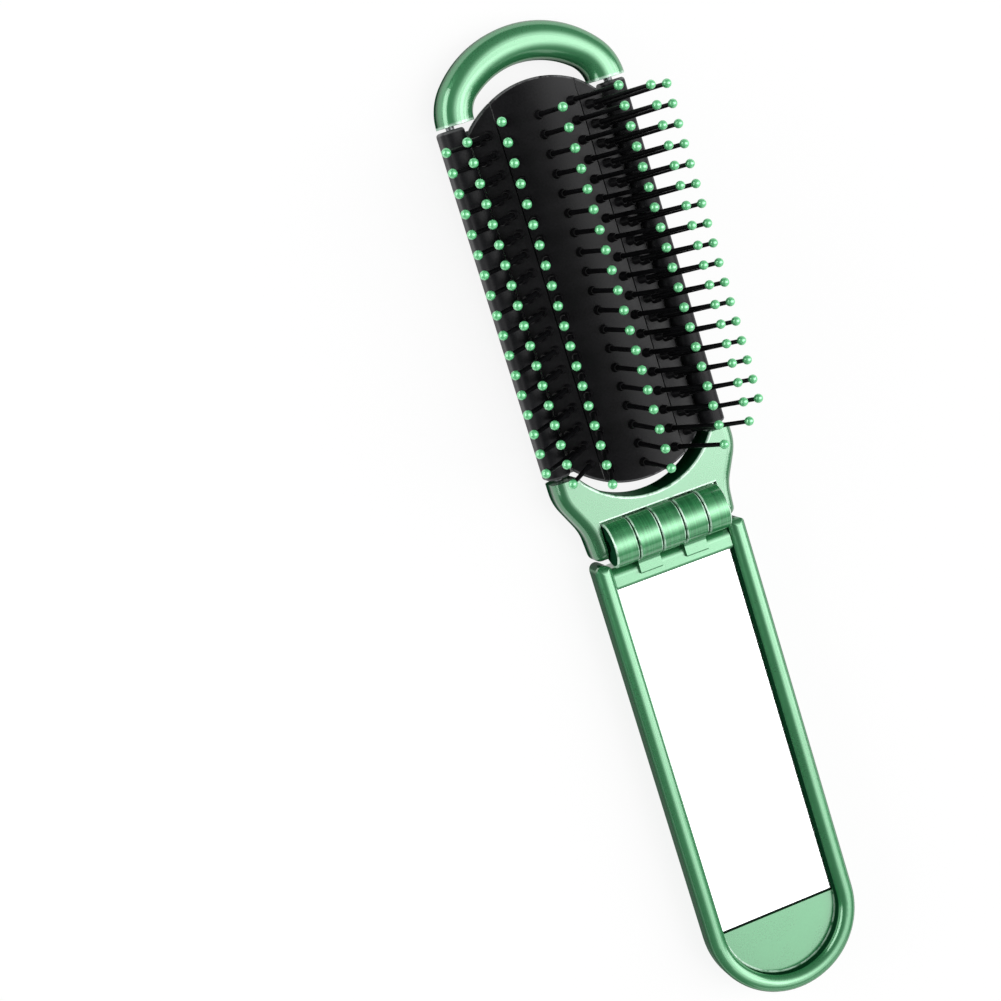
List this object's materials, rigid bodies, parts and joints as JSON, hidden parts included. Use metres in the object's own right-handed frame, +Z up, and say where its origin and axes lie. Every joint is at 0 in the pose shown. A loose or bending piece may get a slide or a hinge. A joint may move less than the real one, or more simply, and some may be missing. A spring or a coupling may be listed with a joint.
{
  "type": "folding hairbrush with mirror",
  "caption": "Pocket hairbrush, open: ball-tipped bristles on a folding cushion between two rails, and a hinged round-ended lid with a recessed mirror.",
  "frame": {"origin": "on the table, under the middle of the hinge axis", "axes": "+X across the brush, +Y along it from the mirror lid to the arch, +Z up out of the bristled side"},
  "size_m": [0.0448, 0.1946, 0.0229],
  "materials": {
    "pearl_green": "satin pearl",
    "panel_green": "satin pearl",
    "black_plastic": "satin",
    "cushion_black": "matt",
    "bristle_black": "gloss",
    "tip_green": "gloss",
    "pin_steel": "satin",
    "mirror": "mirror",
    "adhesive": "matt"
  },
  "bodies": {
    "head_frame": {"top_arch": "pearl_green", "hinge_yoke": "pearl_green", "hinge_pin": "pin_steel", "rail_pin_left_yoke": "pin_steel", "rail_pin_left_arch": "pin_steel", "rail_pin_right_yoke": "pin_steel", "rail_pin_right_arch": "pin_steel"},
    "left_rail": {"rail_left": "black_plastic"},
    "right_rail": {"rail_right": "black_plastic"},
    "cushion": {"cushion_centre": "cushion_black", "bristles_centre_left": "bristle_black", "bristles_centre": "bristle_black", "bristles_centre_right": "bristle_black", "tips_centre_left": "tip_green", "tips_centre": "tip_green", "tips_centre_right": "tip_green"},
    "left_wing": {"cushion_wing_left": "cushion_black", "bristles_left_near": "bristle_black", "bristles_left_far": "bristle_black", "tips_left_near": "tip_green", "tips_left_far": "tip_green"},
    "right_wing": {"cushion_wing_right": "cushion_black", "bristles_right_near": "bristle_black", "bristles_right_far": "bristle_black", "tips_right_near": "tip_green", "tips_right_far": "tip_green"},
    "lid": {"mirror_lid": "pearl_green", "mirror_glass": "mirror", "mirror_adhesive": "adhesive", "lid_panel": "panel_green"}
  },
  "joints": [
    {"name": "lid_fold", "type": "hinge", "parent": "head_frame", "child": "lid", "pos_m": [0, 0, 0.008], "axis": [-1, 0, 0], "range_deg": [0, 180]},
    {"name": "cushion_press", "type": "slide", "parent": "head_frame", "child": "cushion", "axis": [0, 0, 1], "range_m": [-0.0136, 0]},
    {"name": "left_wing_fold", "type": "hinge", "parent": "cushion", "child": "left_wing", "pos_m": [-0.0083, 0.0477, 0.0064], "axis": [0, 1, 0], "range_deg": [0, 60]},
    {"name": "right_wing_fold", "type": "hinge", "parent": "cushion", "child": "right_wing", "pos_m": [0.0083, 0.0477, 0.0064], "axis": [0, -1, 0], "range_deg": [0, 60]},
    {"name": "left_rail_roll", "type": "hinge", "parent": "head_frame", "child": "left_rail", "pos_m": [-0.0159, 0.04855, 0.0026], "axis": [0, 1, 0], "range_deg": [0, 20]},
    {"name": "right_rail_roll", "type": "hinge", "parent": "head_frame", "child": "right_rail", "pos_m": [0.0159, 0.04855, 0.0026], "axis": [0, -1, 0], "range_deg": [0, 20]}
  ],
  "couplings": [
    {"joint": "cushion_press", "follows": "lid_fold", "m_per_rad": -0.004329},
    {"joint": "left_wing_fold", "follows": "lid_fold", "ratio": 0.33333},
    {"joint": "right_wing_fold", "follows": "lid_fold", "ratio": 0.33333},
    {"joint": "left_rail_roll", "follows": "lid_fold", "ratio": 0.11111},
    {"joint": "right_rail_roll", "follows": "lid_fold", "ratio": 0.11111}
  ]
}
